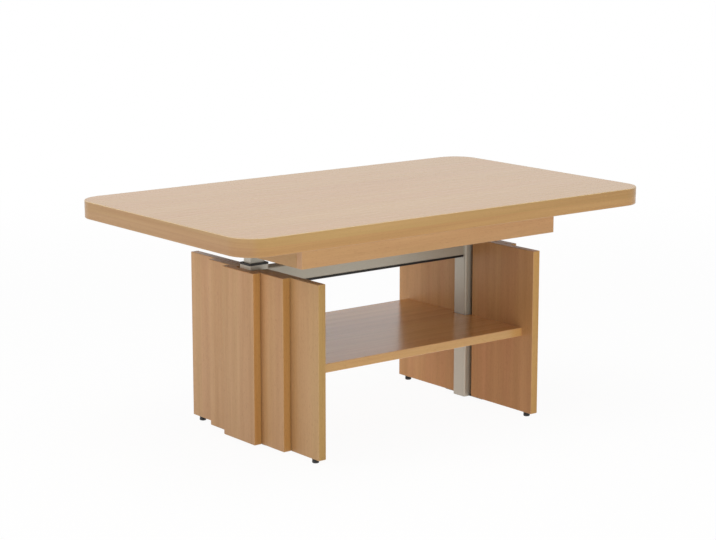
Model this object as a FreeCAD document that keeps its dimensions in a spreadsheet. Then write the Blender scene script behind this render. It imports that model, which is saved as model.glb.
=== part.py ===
import FreeCAD, Part
import math
import os
import re
import Sketcher

# Convertible coffee and dining table. X runs along the length, Y across it, Z up.
# The origin lies on the floor under the middle of the top. Right is +X and back is +Y.
# The top lifts on two telescopic columns, swivels a quarter turn and folds open.

doc = FreeCAD.newDocument("ConvertibleTable")
sheet = doc.addObject("Spreadsheet::Sheet", "Sizes")

SIZES = {
    # Top: two equal leaves of veneered board with a glued edging
    "top_length": 1100,
    "top_width": 650,
    "top_height": 515,
    "board": 19,
    "top_corner_radius": 60,
    "edging": 2,
    "edging_bevel": 1,
    "leaf_inset": 0.3,
    "fold_gap": 0.2,
    # Fold hinges: flush butt hinges in the back edge, with the pin on the seam
    "hinge_inset": 170,
    "hinge_length": 70,
    "hinge_plate_height": 15,
    "knuckle_radius": 2.5,
    "knuckle_relief": 0.4,
    "knuckle_gap": 0.3,
    "hinge_pin_radius": 1.2,
    "running_gap": 0.05,
    # Apron: four rails round a carrier board
    "end_overhang": 201,
    "side_overhang": 90,
    "apron_height": 55.5,
    "board_bevel": 1,
    # Slide pads on the apron's top edges
    "pad_thickness": 1.5,
    "pad_length": 80,
    "pad_width": 13,
    "long_pad_inset": 119,
    "end_pad_inset": 95,
    # Swivel: flange and stud under the lower leaf, bushing in the carrier board
    "flange_radius": 45,
    "flange_thickness": 4,
    "recess_gap": 0.3,
    "stud_radius": 8,
    "stud_end": 3,
    "bushing_wall": 3,
    "pivot_nut_radius": 13.9,
    "pivot_nut_height": 12,
    # Swivel stop: a peg in a quarter-circle slot
    "slot_radius": 120,
    "peg_radius": 5,
    "peg_depth": 10,
    "peg_gap": 0.4,
    "peg_end": 2,
    # Cheeks: split panels, second boards and a cover board on each column
    "cheek_setback": 60,
    "leg_gap": 37,
    "second_width": 275,
    "cover_width": 115,
    "slot_gap": 10,
    # Columns: rectangular tube, foot lugs, plug, guide collar
    "column_width": 40,
    "column_depth": 50,
    "column_wall": 2,
    "column_round": 4,
    "column_bottom": 8,
    "column_stand": 8,
    "lug_width": 30,
    "lug_length": 45,
    "plug_height": 20,
    "collar_flange": 4,
    "collar_sleeve": 30,
    "slide_gap": 0.3,
    # Inner tubes with a slide shoe at the foot
    "inner_width": 27,
    "inner_depth": 37,
    "inner_wall": 2,
    "inner_round": 2.5,
    "shoe_height": 25,
    # Stretcher between the columns
    "beam_width": 30,
    "beam_height": 40,
    "beam_wall": 2,
    "beam_round": 4,
    # Shelf on pins in the cheeks
    "shelf_top": 204,
    "shelf_setback": 35,
    "notch_gap": 3,
    "shelf_pin_radius": 3.5,
    "shelf_pin_depth": 24,
    "shelf_pin_grip": 11,
    "shelf_pin_inset": 80,
    # Floor glides
    "glide_height": 10,
    "glide_radius": 7.5,
    "glide_inset": 24,
    # Gas springs inside the columns
    "gas_radius": 11,
    "gas_wall": 1.1,
    "gas_clearance": 24.5,
    "gas_foot": 6,
    "gas_head": 12,
    "rod_radius": 5,
    "rod_end": 2,
    "rod_nut_radius": 9.8,
    "rod_nut_height": 8,
    "piston_gap": 0.4,
    "piston_height": 10,
    "lift_stroke": 225,
    "valve_radius": 2,
    "valve_stand": 3,
    "valve_seat": 9,
    "valve_bore": 12,
    # Cross arms: flanged channels between the inner tubes and the carrier board
    "arm_end_gap": 16,
    "arm_height": 26,
    "arm_flange": 10,
    "arm_margin": 4,
    "arm_wall": 2.5,
    # Height release: shaft, fingers over the valves, hand lever
    "shaft_radius": 5,
    "shaft_place": 18,
    "shaft_end": 4,
    "hub_half": 6.5,
    "finger_width": 10,
    "finger_thickness": 5,
    "finger_overhang": 4,
    "finger_gap": 0.3,
    "lever_width": 18,
    "lever_thickness": 5,
    "lever_drop": 20,
    "lever_flat": 55,
    "lever_end_gap": 13,
    "paddle_width": 75,
    "paddle_length": 34,
    "paddle_round": 8,
    # One overrun serves every through cut
    "overrun": 5,
}
for row, (alias, value) in enumerate(SIZES.items(), start=1):
    sheet.set(f"A{row}", alias)
    sheet.set(f"B{row}", str(value))
    sheet.setAlias(f"B{row}", alias)
doc.recompute()

# Levels and places that several pieces share, as formulas of the sheet's sizes
SEAM = "(top_height - board)"
UNDERSIDE = "(top_height - 2 * board)"
APRON_TOP = f"({UNDERSIDE} - pad_thickness)"
APRON_BOTTOM = f"({APRON_TOP} - apron_height)"
CARRIER_BOTTOM = f"({APRON_TOP} - board)"
FOLD_AXIS = "(top_width / 2 - knuckle_radius)"
LEAF_BACK = f"({FOLD_AXIS} - fold_gap)"
PIVOT = f"({FOLD_AXIS} / 2)"
APRON_LENGTH = "(top_length - 2 * end_overhang)"
APRON_WIDTH = "(top_width - 2 * side_overhang)"
APRON_INNER = f"({APRON_LENGTH} / 2 - board)"
INNER_WIDTH = f"({APRON_WIDTH} - 2 * board)"
CHEEK_INNER = f"({APRON_LENGTH} / 2 - cheek_setback)"
SECOND_INNER = f"({CHEEK_INNER} + board)"
COVER_INNER = f"({SECOND_INNER} + board)"
CHEEK_TOP = f"({APRON_BOTTOM} - leg_gap)"
CHEEK_HEIGHT = f"({CHEEK_TOP} - glide_height)"
COLUMN_TOP = f"({CHEEK_TOP} + column_stand)"
COLUMN_INNER = f"({COVER_INNER} - column_depth)"
COLUMN_CENTRE = f"({COVER_INNER} - column_depth / 2)"
COLUMN_HOLLOW_DEPTH = "(column_depth - 2 * column_wall)"
COLUMN_HOLLOW_WIDTH = "(column_width - 2 * column_wall)"
PLUG_TOP = "(column_bottom + plug_height)"
INNER_BOTTOM = f"({PLUG_TOP} + slide_gap)"
ARM_BOTTOM = f"({CARRIER_BOTTOM} - arm_height)"
ARM_WEB_TOP = f"({ARM_BOTTOM} + arm_wall)"
ROD_TOP = f"({ARM_WEB_TOP} + rod_nut_height + rod_end)"
VALVE_TOP = f"({ROD_TOP} + valve_stand)"
SHAFT_LEVEL = f"({VALVE_TOP} + finger_gap + finger_thickness / 2)"
SHELF_DEPTH = f"({APRON_WIDTH} - 2 * shelf_setback)"

RIGHT = FreeCAD.Vector(1, 0, 0)
BACK = FreeCAD.Vector(0, 1, 0)
UP = FreeCAD.Vector(0, 0, 1)
ANGLE_TOLERANCE = math.radians(0.1)
LAID_ALONG_X = FreeCAD.Rotation(BACK, 90)
HALF_TURN = FreeCAD.Rotation(UP, 180)


def bind(item, place, formula):
    """Binds a property to a formula whose words are aliases of the sheet."""
    item.setExpression(place, re.sub(r"[a-z_]+", r"Sizes.\g<0>", formula))


def put(item, x="0", y="0", z="0"):
    """Binds an object's position."""
    for axis, formula in zip("xyz", (x, y, z)):
        bind(item, f"Placement.Base.{axis}", formula)
    return item


def new_sketch(body, plane_role):
    """A sketch on one of the body's own origin planes."""
    plane = next(plane for plane in body.Origin.OriginFeatures if plane.Role == plane_role)
    sketch = body.newObject("Sketcher::SketchObject", "Profile")
    sketch.AttachmentSupport = [(plane, "")]
    sketch.MapMode = "FlatFace"
    return sketch


def add_outline(sketch, corners):
    """A closed outline of lines, with each corner held at two formulas."""
    first = sketch.GeometryCount
    count = len(corners)
    turn = 2 * math.pi / count
    unit = [FreeCAD.Vector(math.cos(turn * index), math.sin(turn * index), 0) for index in range(count)]
    for index in range(count):
        sketch.addGeometry(Part.LineSegment(unit[index], unit[(index + 1) % count]), False)
    for index, corner in enumerate(corners):
        line = first + index
        following = first + (index + 1) % count
        sketch.addConstraint(Sketcher.Constraint("Coincident", line, 2, following, 1))
        for kind, axis, formula in (("DistanceX", -2, corner[0]), ("DistanceY", -1, corner[1])):
            if formula == "0":
                sketch.addConstraint(Sketcher.Constraint("PointOnObject", line, 1, axis))
                continue
            held = sketch.addConstraint(Sketcher.Constraint(kind, -1, 1, line, 1, 1.0))
            sketch.renameConstraint(held, f"{kind}_{line}")
            bind(sketch, f"Constraints.{kind}_{line}", formula)


def add_rectangle(sketch, width, height):
    """A rectangle centred on the sketch's origin."""
    right, top = f"({width}) / 2", f"({height}) / 2"
    left, bottom = f"-({width}) / 2", f"-({height}) / 2"
    add_outline(sketch, [(left, bottom), (right, bottom), (right, top), (left, top)])


def pad(body, sketch, length, symmetric=False):
    """Extrudes a sketch along its normal, or to both sides of it."""
    feature = body.newObject("PartDesign::Pad", "Pad")
    feature.Profile = sketch
    if symmetric:
        feature.SideType = "Symmetric"
    bind(feature, "Length", length)
    doc.recompute()
    return feature


def ease_edges(body, kind, place, size, wanted):
    """Adds a fillet or a chamfer to the edges of the body that a test picks, or to all."""
    base = body.Tip
    names = []
    for number, edge in enumerate(base.Shape.Edges, start=1):
        if wanted is None or wanted(edge):
            names.append(f"Edge{number}")
    feature = body.newObject(kind, "Eased")
    feature.Base = (base, names)
    bind(feature, place, size)
    doc.recompute()
    return feature


def round_edges(body, radius, wanted):
    """Rounds the edges of the body that a test picks."""
    return ease_edges(body, "PartDesign::Fillet", "Radius", radius, wanted)


def bevel_edges(body, size, wanted=None):
    """Bevels the edges of the body that a test picks, or all of them."""
    return ease_edges(body, "PartDesign::Chamfer", "Size", size, wanted)


def runs_along(direction):
    """A test for straight edges parallel to a direction."""

    def test(edge):
        is_straight = isinstance(edge.Curve, Part.Line)
        return is_straight and edge.Curve.Direction.isParallel(direction, ANGLE_TOLERANCE)

    return test


def bounds_face(solid, facing):
    """A test for the edges round a solid's one flat face that faces a direction."""
    face = next(face for face in solid.Faces if face.normalAt(0, 0).isEqual(facing, ANGLE_TOLERANCE))

    def test(edge):
        return any(edge.isSame(other) for other in face.Edges)

    return test


def new_body(label):
    """An empty body with its label."""
    body = doc.addObject("PartDesign::Body", "Body")
    body.Label = label
    return body


def make_board(label, length, width, height, bevel=None):
    """A board centred in X and Y on its lower face, with all edges bevelled if a size is given."""
    body = new_body(label)
    sketch = new_sketch(body, "XY_Plane")
    add_rectangle(sketch, length, width)
    pad(body, sketch, height)
    if bevel:
        bevel_edges(body, bevel)
    return body


def make_tube(label, plane_role, direction, outer, wall, corner, length):
    """A rectangular tube that runs both ways from its plane, with rounded outer corners."""
    body = new_body(label)
    width, height = outer
    outside = new_sketch(body, plane_role)
    add_rectangle(outside, width, height)
    pad(body, outside, length, symmetric=True)
    solid = round_edges(body, corner, runs_along(direction))
    inside = new_sketch(body, plane_role)
    add_rectangle(inside, f"{width} - 2 * {wall}", f"{height} - 2 * {wall}")
    hollow = body.newObject("PartDesign::Pocket", "Hollow")
    hollow.Profile = inside
    hollow.SideType = "Symmetric"
    hollow.Type = "ThroughAll"
    doc.recompute()
    if not body.Shape.Volume < solid.Shape.Volume:
        raise ValueError(f"{label} stayed solid")
    return body


def make_turned(label, profile):
    """A solid turned about the Z axis from a profile of radius and height."""
    body = new_body(label)
    sketch = new_sketch(body, "XZ_Plane")
    add_outline(sketch, profile)
    feature = body.newObject("PartDesign::Revolution", "Turn")
    feature.Profile = sketch
    feature.ReferenceAxis = (sketch, ["V_Axis"])
    feature.Angle = 360
    doc.recompute()
    return body


def make_cylinder(radius, length, along_x=False):
    """A round pin that starts at its position."""
    item = doc.addObject("Part::Cylinder", "Pin")
    bind(item, "Radius", radius)
    bind(item, "Height", length)
    if along_x:
        item.Placement.Rotation = LAID_ALONG_X
    return item


def make_box(length, width, height):
    """A plain block that starts at its position."""
    item = doc.addObject("Part::Box", "Block")
    for place, formula in zip(("Length", "Width", "Height"), (length, width, height)):
        bind(item, place, formula)
    return item


def make_hexagon(radius, height):
    """A six-sided nut blank on its lower face."""
    item = doc.addObject("Part::Prism", "Hexagon")
    item.Polygon = 6
    bind(item, "Circumradius", radius)
    bind(item, "Height", height)
    return item


def group(items, label=None):
    """Separate solids kept together as one object."""
    item = doc.addObject("Part::Compound", "Group")
    item.Links = items
    if label:
        item.Label = label
    doc.recompute()
    return item


def fuse(items):
    """Overlapping solids joined into one."""
    item = doc.addObject("Part::MultiFuse", "Joined")
    item.Shapes = items
    item.Refine = True
    doc.recompute()
    return item


def cut(base, tool, label=None):
    """A solid with another taken away, which has to remove something."""
    item = doc.addObject("Part::Cut", "Cut")
    item.Base = base
    item.Tool = tool
    if label:
        item.Label = label
    doc.recompute()
    if not item.Shape.Volume < base.Shape.Volume:
        raise ValueError(f"nothing was cut from {base.Label}")
    return item


def mirror(source, normal, label=None):
    """The mirror image of an object across a plane through the origin."""
    item = doc.addObject("Part::Mirroring", "Mirrored")
    item.Source = source
    item.Base = FreeCAD.Vector(0, 0, 0)
    item.Normal = normal
    if label:
        item.Label = label
    doc.recompute()
    return item


def on_both_columns(item, label):
    """A piece at the right column with its mirror image at the left one, as one node."""
    return group([item, mirror(item, RIGHT)], label)


def in_four_corners(item, label=None):
    """A piece at the right back with its three mirror images, as one node."""
    right = group([item, mirror(item, BACK)])
    return group([right, mirror(right, RIGHT)], label)


nodes = []

# Fold hinges: two flush butt hinges with their knuckles on the seam line.
# The lower plates hold the outer knuckles, the upper plates the one between.
HINGE_SPREAD = "(top_length / 2 - hinge_inset)"
hinge_places = (f"-{HINGE_SPREAD}", HINGE_SPREAD)
KNUCKLE_COUNT = 3
SEGMENT = f"(hinge_length / {KNUCKLE_COUNT})"
KNUCKLE_CLEAR = "(knuckle_radius + knuckle_relief)"


def hinge_start(place):
    """The left end of the hinge at a place along the top."""
    return f"{place} - hinge_length / 2"


def make_hinge_half(place, is_upper):
    """A plate let into the edging, with webs to its own knuckles and a pin bore."""
    start = hinge_start(place)
    plate_height = f"(hinge_plate_height - {KNUCKLE_CLEAR})"
    side = f"{LEAF_BACK} - edging"
    plate = make_box("hinge_length", "edging", plate_height)
    put(plate, start, side, f"{SEAM} + {KNUCKLE_CLEAR}" if is_upper else f"{SEAM} - hinge_plate_height")
    pieces = [plate]
    for number in range(1 if is_upper else 0, KNUCKLE_COUNT, 2):
        begin = f"{start} + {number} * {SEGMENT} + knuckle_gap / 2"
        web = make_box(f"{SEGMENT} - knuckle_gap", "edging", KNUCKLE_CLEAR)
        pieces.append(put(web, begin, side, SEAM if is_upper else f"{SEAM} - {KNUCKLE_CLEAR}"))
        knuckle = make_cylinder("knuckle_radius", f"{SEGMENT} - knuckle_gap", along_x=True)
        pieces.append(put(knuckle, begin, FOLD_AXIS, SEAM))
    bore = make_cylinder("hinge_pin_radius + running_gap" if is_upper else "hinge_pin_radius",
                         "hinge_length", along_x=True)
    return cut(fuse(pieces), put(bore, start, FOLD_AXIS, SEAM))


hinge_pins = []
reliefs = []
mortises = []
for place in hinge_places:
    pin = make_cylinder("hinge_pin_radius", "hinge_length", along_x=True)
    hinge_pins.append(put(pin, hinge_start(place), FOLD_AXIS, SEAM))
    relief = make_cylinder(KNUCKLE_CLEAR, "hinge_length", along_x=True)
    reliefs.append(put(relief, hinge_start(place), FOLD_AXIS, SEAM))
    mortise = make_box("hinge_length", "edging + overrun", "2 * hinge_plate_height")
    mortises.append(put(mortise, hinge_start(place), f"{LEAF_BACK} - edging", f"{SEAM} - hinge_plate_height"))
nodes.append(group(hinge_pins, "hinge_pins"))
nodes.append(group([make_hinge_half(place, False) for place in hinge_places], "lower_hinge_plates"))
nodes.append(group([make_hinge_half(place, True) for place in hinge_places], "upper_hinge_plates"))
hinge_relief = group(reliefs)
hinge_seat = group(mortises)

# Top leaves: a veneered core inside a ring of edging, with the back edges on the fold line.
# The lower leaf stands a hair inside the upper one on its three free sides.


def make_leaf_blank(label, inset, level, radius):
    """A board with rounded corners, the given amount inside the upper leaf's outline."""
    inside, back = inset
    width = f"(top_width / 2 + {LEAF_BACK} - ({inside}) - ({back}))"
    body = make_board(label, f"top_length - 2 * ({inside})", width, "board")
    round_edges(body, radius, runs_along(UP))
    middle = f"({LEAF_BACK} - ({back}) - top_width / 2 + ({inside})) / 2"
    return put(body, "0", middle, level)


def make_leaf(name, inset, level, outward):
    """The core and the edging of one leaf, bevelled on its outward face and cut for the hinges."""
    core_inset = (f"{inset} + edging", "edging")
    core = make_leaf_blank(f"{name} core blank", core_inset, level, f"top_corner_radius - {inset} - edging")
    outer = make_leaf_blank(f"{name} outline", (inset, "0"), level, f"top_corner_radius - {inset}")
    bevel_edges(outer, "edging_bevel", bounds_face(outer.Tip.Shape, outward))
    doc.recompute()
    ring = cut(outer, core)
    edging = cut(ring, group([hinge_relief, hinge_seat]), f"{name}_edging")
    return cut(core, hinge_relief), edging


upper_board, upper_edging = make_leaf("upper_leaf", "0", SEAM, UP)
upper_board.Label = "upper_leaf_board"
lower_blank, lower_edging = make_leaf("lower_leaf", "leaf_inset", UNDERSIDE, -UP)
nodes += [upper_board, upper_edging, lower_edging]

# Swivel pivot: a flange with a stud hangs from a recess in the lower leaf.
# The stud turns in a bushing, held under the carrier board by a nut.
STUD_BOTTOM = f"({CARRIER_BOTTOM} - pivot_nut_height - stud_end)"
pivot_flange = make_turned("pivot_flange", [
    ("0", "0"),
    ("stud_radius", "0"),
    ("stud_radius", f"{UNDERSIDE} - {STUD_BOTTOM}"),
    ("flange_radius", f"{UNDERSIDE} - {STUD_BOTTOM}"),
    ("flange_radius", f"{UNDERSIDE} - {STUD_BOTTOM} + flange_thickness"),
    ("0", f"{UNDERSIDE} - {STUD_BOTTOM} + flange_thickness"),
])
put(pivot_flange, PIVOT, PIVOT, STUD_BOTTOM)
BUSHING_RADIUS = "(stud_radius + running_gap + bushing_wall)"
pivot_bushing = make_turned("pivot_bushing", [
    ("stud_radius + running_gap", "0"),
    (BUSHING_RADIUS, "0"),
    (BUSHING_RADIUS, "board + pad_thickness"),
    ("stud_radius + running_gap", "board + pad_thickness"),
])
put(pivot_bushing, PIVOT, PIVOT, CARRIER_BOTTOM)
nut_blank = make_hexagon("pivot_nut_radius", "pivot_nut_height")
put(nut_blank, PIVOT, PIVOT, f"{CARRIER_BOTTOM} - pivot_nut_height")
doc.recompute()
nodes += [pivot_flange, pivot_bushing, cut(nut_blank, pivot_flange, "pivot_nut")]

# Swivel stop: a peg pressed into the lower leaf, which runs in a quarter-circle slot.
stop_peg = make_cylinder("peg_radius", f"{UNDERSIDE} + peg_depth - {CARRIER_BOTTOM} - peg_end")
put(stop_peg, f"{PIVOT} - slot_radius", PIVOT, f"{CARRIER_BOTTOM} + peg_end")
stop_peg.Label = "stop_peg"
flange_recess = make_cylinder("flange_radius + recess_gap", "flange_thickness")
put(flange_recess, PIVOT, PIVOT, UNDERSIDE)
nodes += [stop_peg, cut(lower_blank, group([stop_peg, flange_recess]), "lower_leaf_board")]

slot_arc = new_body("slot arc")
slot_sketch = new_sketch(slot_arc, "XZ_Plane")
SLOT_HALF = "(peg_radius + peg_gap)"
add_outline(slot_sketch, [
    (f"slot_radius - {SLOT_HALF}", "-overrun"),
    (f"slot_radius + {SLOT_HALF}", "-overrun"),
    (f"slot_radius + {SLOT_HALF}", "board + overrun"),
    (f"slot_radius - {SLOT_HALF}", "board + overrun"),
])
slot_sweep = slot_arc.newObject("PartDesign::Revolution", "Sweep")
slot_sweep.Profile = slot_sketch
slot_sweep.ReferenceAxis = (slot_sketch, ["V_Axis"])
slot_sweep.Angle = 90
slot_arc.Placement.Rotation = HALF_TURN
put(slot_arc, PIVOT, PIVOT, CARRIER_BOTTOM)
slot_ends = []
for x, y in ((f"{PIVOT} - slot_radius", PIVOT), (PIVOT, f"{PIVOT} - slot_radius")):
    slot_end = make_cylinder(SLOT_HALF, "board + 2 * overrun")
    slot_ends.append(put(slot_end, x, y, f"{CARRIER_BOTTOM} - overrun"))
slot = fuse([slot_arc] + slot_ends)

# Carrier board: fills the apron, carries the bushing and the swivel slot.
carrier_blank = make_board("carrier blank", f"2 * {APRON_INNER}", INNER_WIDTH, "board")
put(carrier_blank, "0", "0", CARRIER_BOTTOM)
bushing_hole = make_cylinder(BUSHING_RADIUS, "board + 2 * overrun")
put(bushing_hole, PIVOT, PIVOT, f"{CARRIER_BOTTOM} - overrun")
doc.recompute()
nodes.append(cut(carrier_blank, group([slot, bushing_hole]), "carrier_board"))

# Apron: long rails at the front and back with end rails between them.
long_rail = make_board("apron_back", APRON_LENGTH, "board", "apron_height", "board_bevel")
put(long_rail, "0", f"({INNER_WIDTH} + board) / 2", APRON_BOTTOM)
end_rail = make_board("apron_right", "board", INNER_WIDTH, "apron_height", "board_bevel")
put(end_rail, f"{APRON_INNER} + board / 2", "0", APRON_BOTTOM)
nodes += [long_rail, mirror(long_rail, BACK, "apron_front")]
nodes += [end_rail, mirror(end_rail, RIGHT, "apron_left")]

# Slide pads: thin strips on the rails, on which the leaves turn and rest.
long_pad = make_box("pad_length", "pad_width", "pad_thickness")
put(long_pad, f"{APRON_LENGTH} / 2 - long_pad_inset - pad_length / 2",
    f"({INNER_WIDTH} + board - pad_width) / 2", APRON_TOP)
end_pad = make_box("pad_width", "pad_length", "pad_thickness")
put(end_pad, f"{APRON_INNER} + (board - pad_width) / 2",
    f"{APRON_WIDTH} / 2 - end_pad_inset - pad_length / 2", APRON_TOP)
nodes.append(in_four_corners(group([long_pad, end_pad]), "slide_pads"))

# Columns: rectangular steel tubes that stand proud of the cheeks' inner faces.
column = make_tube("column_right", "XY_Plane", UP, ("column_depth", "column_width"), "column_wall",
                   "column_round", f"{COLUMN_TOP} - column_bottom")
put(column, COLUMN_CENTRE, "0", f"({COLUMN_TOP} + column_bottom) / 2")
nodes += [column, mirror(column, RIGHT, "column_left")]

# Column plugs: blocks in the tubes' feet that seat the gas springs.
plug = make_board("plug", COLUMN_HOLLOW_DEPTH, COLUMN_HOLLOW_WIDTH, "plug_height")
put(plug, COLUMN_CENTRE, "0", "column_bottom")
nodes.append(on_both_columns(plug, "column_plugs"))

# Foot lugs: flats welded to the columns, under the cheeks that they carry.
lug = make_box("lug_width", "lug_length", "glide_height - column_bottom")
put(lug, f"{SECOND_INNER} - lug_width / 2", "column_width / 2", "column_bottom")
nodes.append(in_four_corners(lug, "foot_lugs"))

# Guide collars: moulded sleeves in the tubes' mouths with a rim on top.
collar_blank = make_board("collar rim", "column_depth", "column_width", "collar_flange")
round_edges(collar_blank, "column_round", runs_along(UP))
sleeve = make_board("collar sleeve", COLUMN_HOLLOW_DEPTH, COLUMN_HOLLOW_WIDTH, "collar_sleeve")
put(collar_blank, COLUMN_CENTRE, "0", COLUMN_TOP)
put(sleeve, COLUMN_CENTRE, "0", f"{COLUMN_TOP} - collar_sleeve")
passage = make_board("collar passage", "inner_depth + 2 * slide_gap", "inner_width + 2 * slide_gap",
                     "collar_sleeve + collar_flange + 2 * overrun")
put(passage, COLUMN_CENTRE, "0", f"{COLUMN_TOP} - collar_sleeve - overrun")
doc.recompute()
nodes.append(on_both_columns(cut(fuse([collar_blank, sleeve]), passage), "guide_collars"))

# Inner tubes: lift the top, each with a slide shoe round its foot.
inner_tube = make_tube("inner_tube_right", "XY_Plane", UP, ("inner_depth", "inner_width"), "inner_wall",
                       "inner_round", f"{ARM_BOTTOM} - {INNER_BOTTOM}")
put(inner_tube, COLUMN_CENTRE, "0", f"({ARM_BOTTOM} + {INNER_BOTTOM}) / 2")
nodes += [inner_tube, mirror(inner_tube, RIGHT, "inner_tube_left")]
shoe_blank = make_board("shoe blank", f"{COLUMN_HOLLOW_DEPTH} - 2 * slide_gap",
                        f"{COLUMN_HOLLOW_WIDTH} - 2 * slide_gap", "shoe_height")
put(shoe_blank, COLUMN_CENTRE, "0", INNER_BOTTOM)
shoe_hole = make_board("shoe hole", "inner_depth", "inner_width", "shoe_height + 2 * overrun")
put(shoe_hole, COLUMN_CENTRE, "0", f"{INNER_BOTTOM} - overrun")
doc.recompute()
nodes.append(on_both_columns(cut(shoe_blank, shoe_hole), "slide_shoes"))

# Stretcher: a tube welded between the columns, level with the top of the cheeks.
beam = make_tube("stretcher", "YZ_Plane", RIGHT, ("beam_width", "beam_height"), "beam_wall",
                 "beam_round", f"2 * {COLUMN_INNER}")
put(beam, "0", "0", f"{CHEEK_TOP} - beam_height / 2")
nodes.append(beam)

# Gas springs: cylinders on the base, rods and pistons on the lift.
# The piston stops the lift under the cylinder's head, the inner tube's foot on the plug.
GAS_BORE = "(gas_radius - gas_wall)"
GAS_LENGTH = f"({ARM_BOTTOM} - gas_clearance - {PLUG_TOP})"
PISTON_BOTTOM = f"({PLUG_TOP} + {GAS_LENGTH} - gas_head - slide_gap - lift_stroke - piston_height)"
gas_cylinder = make_turned("gas_cylinder_right", [
    ("0", "0"),
    ("gas_radius", "0"),
    ("gas_radius", GAS_LENGTH),
    ("rod_radius + running_gap", GAS_LENGTH),
    ("rod_radius + running_gap", f"{GAS_LENGTH} - gas_head"),
    (GAS_BORE, f"{GAS_LENGTH} - gas_head"),
    (GAS_BORE, "gas_foot"),
    ("0", "gas_foot"),
])
put(gas_cylinder, COLUMN_CENTRE, "0", PLUG_TOP)
gas_rod = make_turned("gas_rod_right", [
    ("0", "0"),
    (f"{GAS_BORE} - piston_gap", "0"),
    (f"{GAS_BORE} - piston_gap", "piston_height"),
    ("rod_radius", "piston_height"),
    ("rod_radius", f"{ROD_TOP} - {PISTON_BOTTOM}"),
    ("valve_radius + running_gap", f"{ROD_TOP} - {PISTON_BOTTOM}"),
    ("valve_radius + running_gap", f"{ROD_TOP} - {PISTON_BOTTOM} - valve_bore"),
    ("0", f"{ROD_TOP} - {PISTON_BOTTOM} - valve_bore"),
])
put(gas_rod, COLUMN_CENTRE, "0", PISTON_BOTTOM)
rod_hole = make_cylinder("rod_radius", f"{ROD_TOP} - {PISTON_BOTTOM}")
put(rod_hole, COLUMN_CENTRE, "0", PISTON_BOTTOM)
rod_nut_blank = make_hexagon("rod_nut_radius", "rod_nut_height")
put(rod_nut_blank, COLUMN_CENTRE, "0", ARM_WEB_TOP)
valve_pin = make_cylinder("valve_radius", "valve_seat + valve_stand")
put(valve_pin, COLUMN_CENTRE, "0", f"{ROD_TOP} - valve_seat")
doc.recompute()
nodes += [gas_cylinder, mirror(gas_cylinder, RIGHT, "gas_cylinder_left")]
nodes += [gas_rod, mirror(gas_rod, RIGHT, "gas_rod_left")]
nodes.append(on_both_columns(cut(rod_nut_blank, rod_hole), "rod_nuts"))
nodes.append(on_both_columns(valve_pin, "valve_pins"))

# Cross arms: channels against the end rails, with a flange under the carrier board.
# Each channel's web takes the inner tube from below and the gas rod through a hole.
arm_blank = new_body("arm blank")
arm_sketch = new_sketch(arm_blank, "XZ_Plane")
ARM_OUTER = f"({APRON_INNER} - {COLUMN_CENTRE})"
ARM_REACH = "(inner_depth / 2 + arm_margin)"
add_outline(arm_sketch, [
    (f"-{ARM_REACH}", "0"),
    (ARM_OUTER, "0"),
    (ARM_OUTER, "arm_height"),
    (f"{ARM_OUTER} - arm_wall", "arm_height"),
    (f"{ARM_OUTER} - arm_wall", "arm_wall"),
    (f"-{ARM_REACH} + arm_wall", "arm_wall"),
    (f"-{ARM_REACH} + arm_wall", "arm_height"),
    (f"-{ARM_REACH} - arm_flange", "arm_height"),
    (f"-{ARM_REACH} - arm_flange", "arm_height - arm_wall"),
    (f"-{ARM_REACH}", "arm_height - arm_wall"),
])
pad(arm_blank, arm_sketch, f"{INNER_WIDTH} - 2 * arm_end_gap", symmetric=True)
put(arm_blank, COLUMN_CENTRE, "0", ARM_BOTTOM)
shaft_bore = make_cylinder("shaft_radius + running_gap", "arm_wall + 2 * overrun", along_x=True)
put(shaft_bore, f"{COLUMN_CENTRE} - {ARM_REACH} - overrun", "shaft_place", SHAFT_LEVEL)
doc.recompute()
cross_arm = cut(arm_blank, group([rod_hole, shaft_bore]), "cross_arm_right")
nodes += [cross_arm, mirror(cross_arm, RIGHT, "cross_arm_left")]

# Height release: a shaft turns in bores in the cross arms' inner walls.
# Fingers on it press the valve pins when the hand lever behind is pulled up.
SHAFT_HALF = f"({COLUMN_CENTRE} + finger_width / 2 + shaft_end)"
release_shaft = make_cylinder("shaft_radius", f"2 * {SHAFT_HALF}", along_x=True)
put(release_shaft, f"-{SHAFT_HALF}", "shaft_place", SHAFT_LEVEL)
release_shaft.Label = "release_shaft"
nodes.append(release_shaft)

finger_blank = new_body("finger blank")
finger_sketch = new_sketch(finger_blank, "YZ_Plane")
FINGER_END = "-(shaft_place + finger_overhang)"
add_outline(finger_sketch, [
    ("-hub_half", "-hub_half"),
    ("hub_half", "-hub_half"),
    ("hub_half", "hub_half"),
    ("-hub_half", "hub_half"),
    ("-hub_half", "finger_thickness / 2"),
    (FINGER_END, "finger_thickness / 2"),
    (FINGER_END, "-finger_thickness / 2"),
    ("-hub_half", "-finger_thickness / 2"),
])
pad(finger_blank, finger_sketch, "finger_width", symmetric=True)
put(finger_blank, COLUMN_CENTRE, "shaft_place", SHAFT_LEVEL)
doc.recompute()
nodes.append(on_both_columns(cut(finger_blank, release_shaft), "release_fingers"))

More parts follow.
